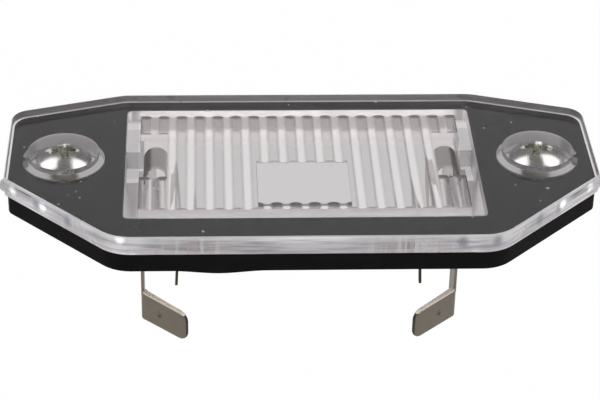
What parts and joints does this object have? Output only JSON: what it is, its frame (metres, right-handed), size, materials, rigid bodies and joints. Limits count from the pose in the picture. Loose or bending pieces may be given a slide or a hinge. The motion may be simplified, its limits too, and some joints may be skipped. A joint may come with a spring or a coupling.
{
  "type": "number plate lamp",
  "caption": "Surface-fixed number plate lamp: clear fluted lens plate on a soft gasket, with festoon bulb contacts and terminal blades behind it.",
  "frame": {"origin": "on the back face of the gasket, midway between the two fixing screws", "axes": "+X along the lamp from screw to screw, +Y towards the straight back edge, +Z out of the lens"},
  "size_m": [0.0854, 0.0385, 0.0282],
  "materials": {
    "clear_plastic": "clear, polished",
    "gasket_rubber": "matt black, soft",
    "contact_strip": "dull nickel plate",
    "screw_steel": "bright zinc plate"
  },
  "bodies": {
    "root": {"lens": "clear_plastic", "gasket": "gasket_rubber", "contact_left": "contact_strip", "contact_right": "contact_strip", "screw_left": "screw_steel", "screw_right": "screw_steel"}
  },
  "joints": []
}
